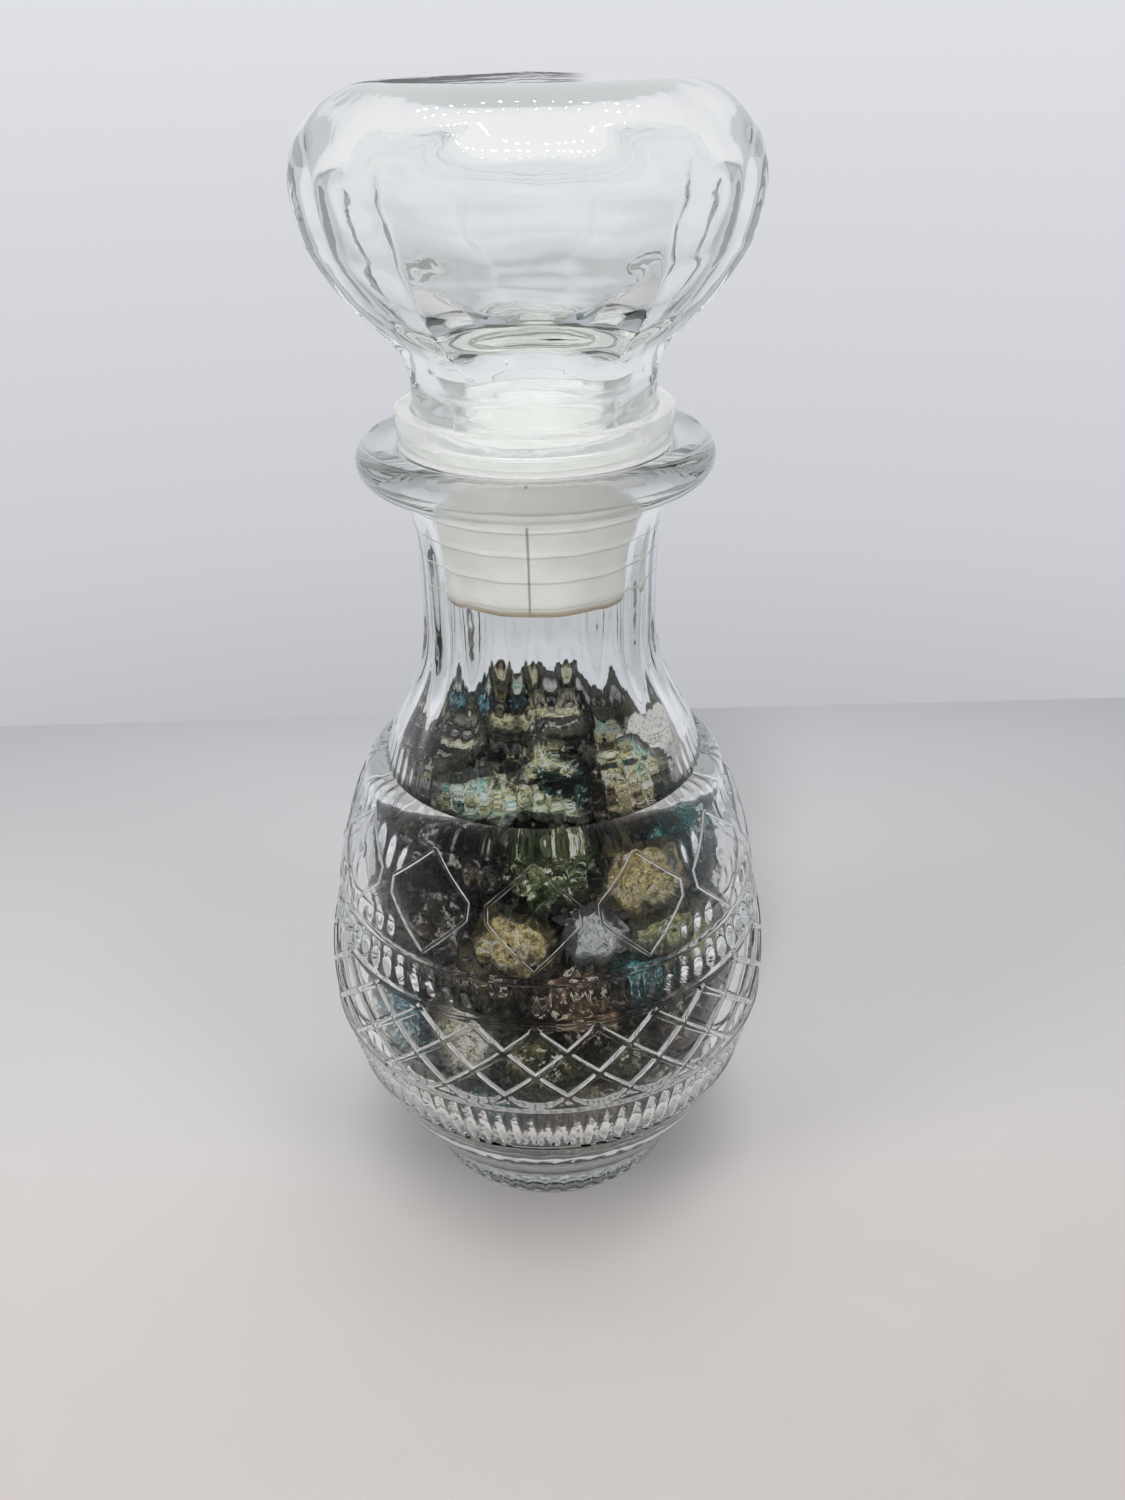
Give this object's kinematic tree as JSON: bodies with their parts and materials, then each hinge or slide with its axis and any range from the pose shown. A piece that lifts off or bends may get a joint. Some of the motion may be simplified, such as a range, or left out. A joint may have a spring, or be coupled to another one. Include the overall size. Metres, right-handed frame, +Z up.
{
  "type": "decanter with stopper",
  "caption": "Pressed-glass decanter with a fluted neck and diamond frieze, a wide panelled stopper in a ribbed plastic sleeve, filled with rough mineral stones.",
  "frame": {"origin": "middle of the foot ring, on the surface that the decanter stands on", "axes": "+Z up along the axis of the decanter, neck and stopper; -Y is the front"},
  "size_m": [0.0882, 0.0882, 0.205],
  "materials": {
    "clear_glass": "clear pressed soda glass, fire-polished",
    "milky_plastic": "translucent milky moulded plastic",
    "amazonite": "pale mint, streaked",
    "azurite": "dusty blue",
    "basalt": "dark brown, rough",
    "calcite": "beige, dull",
    "chrysocolla": "dark teal, satin",
    "feldspar": "pinkish grey, cleaved",
    "galena": "black, sparkling, broken crystal faces",
    "jasper": "tan and brown, waxy",
    "malachite": "green, banded",
    "olivine": "olive, sugary grains",
    "pyrite": "gold and ochre, rough metallic crust",
    "serpentine": "yellow-green, satin",
    "turquoise": "turquoise-green with dark veins"
  },
  "bodies": {
    "decanter": {"decanter_glass": "clear_glass", "amazonite_course_6": "amazonite", "amazonite_course_8": "amazonite", "azurite_course_4": "azurite", "azurite_course_8": "azurite", "basalt_course_1": "basalt", "basalt_course_2": "basalt", "basalt_course_3": "basalt", "basalt_course_4": "basalt", "basalt_course_5": "basalt", "basalt_course_6": "basalt", "basalt_course_7": "basalt", "basalt_course_8": "basalt", "calcite_course_3": "calcite", "calcite_course_4": "calcite", "chrysocolla_course_3": "chrysocolla", "chrysocolla_course_5": "chrysocolla", "chrysocolla_course_6": "chrysocolla", "chrysocolla_course_7": "chrysocolla", "feldspar_course_5": "feldspar", "feldspar_course_8": "feldspar", "galena_course_1": "galena", "galena_course_2": "galena", "galena_course_3": "galena", "galena_course_4": "galena", "galena_course_5": "galena", "galena_course_6": "galena", "galena_course_7": "galena", "galena_course_8": "galena", "jasper_course_1": "jasper", "jasper_course_2": "jasper", "jasper_course_3": "jasper", "jasper_course_4": "jasper", "jasper_course_5": "jasper", "jasper_course_7": "jasper", "malachite_course_2": "malachite", "malachite_course_4": "malachite", "malachite_course_6": "malachite", "malachite_course_7": "malachite", "olivine_course_1": "olivine", "olivine_course_2": "olivine", "olivine_course_4": "olivine", "olivine_course_7": "olivine", "olivine_course_8": "olivine", "pyrite_course_1": "pyrite", "pyrite_course_3": "pyrite", "pyrite_course_6": "pyrite", "pyrite_course_7": "pyrite", "pyrite_course_8": "pyrite", "serpentine_course_2": "serpentine", "serpentine_course_5": "serpentine", "serpentine_course_6": "serpentine", "turquoise_course_8": "turquoise"},
    "sleeve": {"stopper_sleeve": "milky_plastic"},
    "knob": {"stopper_knob": "clear_glass"}
  },
  "joints": [
    {"name": "sleeve_lift", "type": "slide", "parent": "decanter", "child": "sleeve", "axis": [0, 0, 1], "range_m": [0, 0.048]},
    {"name": "knob_turn", "type": "hinge", "parent": "sleeve", "child": "knob", "pos_m": [0, 0, 0.1536], "axis": [0, 0, 1], "continuous": true}
  ]
}
